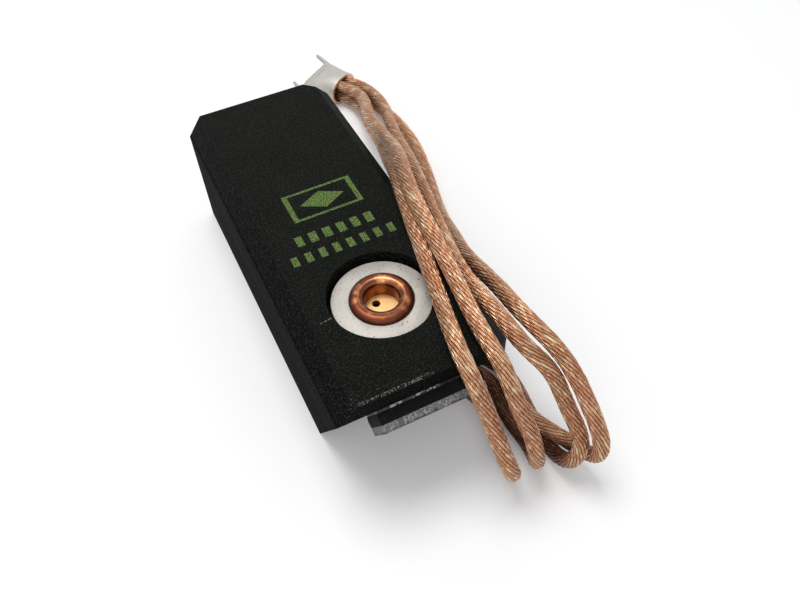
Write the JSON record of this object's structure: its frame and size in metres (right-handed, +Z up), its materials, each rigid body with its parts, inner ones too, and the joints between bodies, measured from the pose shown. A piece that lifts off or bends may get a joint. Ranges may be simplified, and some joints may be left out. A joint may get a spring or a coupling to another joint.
{
  "type": "carbon brush",
  "caption": "Rectangular carbon brush with chamfered top edges, an undercut end with rubber pad and plate, a riveted washer and bare copper cables to a crimp lug.",
  "frame": {"origin": "middle of the block's underside, on the surface the brush lies on", "axes": "+Z up through the wafers, +Y along the block from its pressure end to its contact end, +X to the side that the cables leave by"},
  "size_m": [0.0544, 0.1389, 0.033],
  "materials": {
    "carbon": "ground matte carbon graphite with faint lengthwise grain",
    "washer_metal": "plated steel, slightly specked",
    "rivet_copper": "bright drawn copper, darkened round the roll",
    "glue": "hardened clear adhesive",
    "pad_rubber": "cut rubber sheet",
    "plate_board": "hard laminated board, worn edge",
    "tinned_copper": "dull tin plate",
    "copper_strand": "bare stranded copper"
  },
  "bodies": {
    "root": {"upper_wafer": "carbon", "lower_wafer": "carbon", "top_washer": "washer_metal", "bottom_washer": "washer_metal", "hollow_rivet": "rivet_copper", "glue_film": "glue", "rubber_pad": "pad_rubber", "pressure_plate": "plate_board", "cable_lug": "tinned_copper", "crimped_strands": "copper_strand", "cable_1": "copper_strand", "cable_2": "copper_strand", "cable_3": "copper_strand", "cable_4": "copper_strand"}
  },
  "joints": []
}
